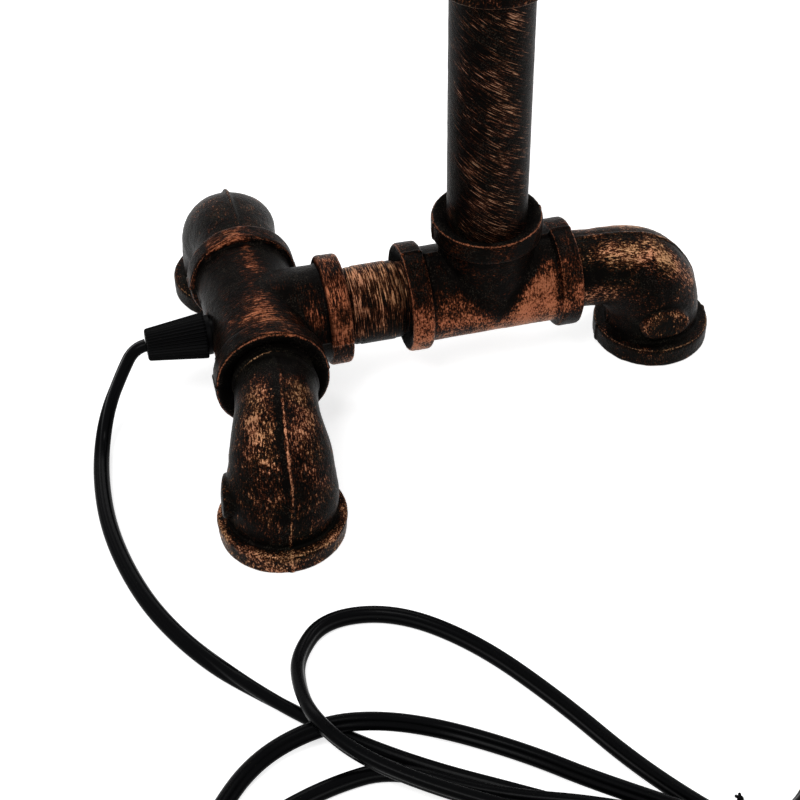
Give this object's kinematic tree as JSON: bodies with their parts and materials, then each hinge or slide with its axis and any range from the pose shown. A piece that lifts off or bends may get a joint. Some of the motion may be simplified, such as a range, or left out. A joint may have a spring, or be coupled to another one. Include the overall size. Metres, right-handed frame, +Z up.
{
  "type": "industrial pipe table lamp",
  "caption": "Table lamp built of beaded pipe fittings on open elbow feet, with a swinging arm, a tilting lamp cup, a rotary switch and a clear filament bulb.",
  "frame": {"origin": "middle of the lamp's footprint, on the table, leaving out the free lead and its plug", "axes": "+Z up, +X along the spine from the leg tee towards the third foot, +Y towards the back foot"},
  "size_m": [0.2603, 0.3721, 0.3796],
  "materials": {
    "fitting": "black enamel, rubbed back to copper on the edges",
    "pipe": "black enamel with brushed copper streaks",
    "grip": "moulded black nylon",
    "lead": "matt black",
    "inner_flex": "white sheath",
    "cores": "plain insulation",
    "zinc": "bright zinc",
    "switch": "moulded",
    "porcelain": "glazed",
    "shell": "rolled sheet",
    "contact": "sprung strip",
    "bulb_glass": "clear, lightly amber",
    "black_glass": "gloss",
    "stem_glass": "clear",
    "wire": "drawn",
    "tie": "flat band",
    "plug": "moulded matt black",
    "pin": "nickelled"
  },
  "bodies": {
    "base": {"front_foot_elbow": "fitting", "back_foot_elbow": "fitting", "third_foot_elbow": "fitting", "leg_tee": "fitting", "spine_nipple": "pipe", "post_tee": "fitting", "post": "pipe", "cord_grip": "grip", "grip_nut": "grip", "base_flex": "inner_flex", "cord_lead": "lead", "cord_hank": "lead", "cord_tail": "lead", "hank_tie": "tie", "plug_body": "plug", "plug_pins": "pin"},
    "arm": {"swing_elbow": "fitting", "arm_nipple": "pipe", "arm_flex": "inner_flex"},
    "head": {"head_elbow": "fitting", "head_flex": "inner_flex", "head_leads": "cores", "lamp_cup": "fitting", "hollow_stud": "zinc", "stud_nut": "zinc", "switch_housing": "switch", "bush_nut": "zinc", "holder_insulator": "porcelain", "holder_screws": "zinc", "screw_shell": "shell", "centre_contact": "contact", "bulb_cap": "shell", "bulb_insulator": "black_glass", "bulb_tip": "zinc", "bulb_envelope": "bulb_glass", "bulb_stem": "stem_glass", "filament": "wire", "filament_hooks": "wire"},
    "knob": {"switch_knob": "switch"}
  },
  "joints": [
    {"name": "arm_swing", "type": "hinge", "parent": "base", "child": "arm", "pos_m": [0.01775, 0, 0.181], "axis": [0, 0, 1], "range_deg": [-170, 170]},
    {"name": "head_tilt", "type": "hinge", "parent": "arm", "child": "head", "pos_m": [-0.06265, 0, 0.181], "axis": [1, 0, 0], "range_deg": [-110, 110]},
    {"name": "switch_turn", "type": "hinge", "parent": "head", "child": "knob", "pos_m": [-0.06265, -0.0274, 0.23255], "axis": [0, -1, 0], "range_deg": [0, 90]}
  ]
}
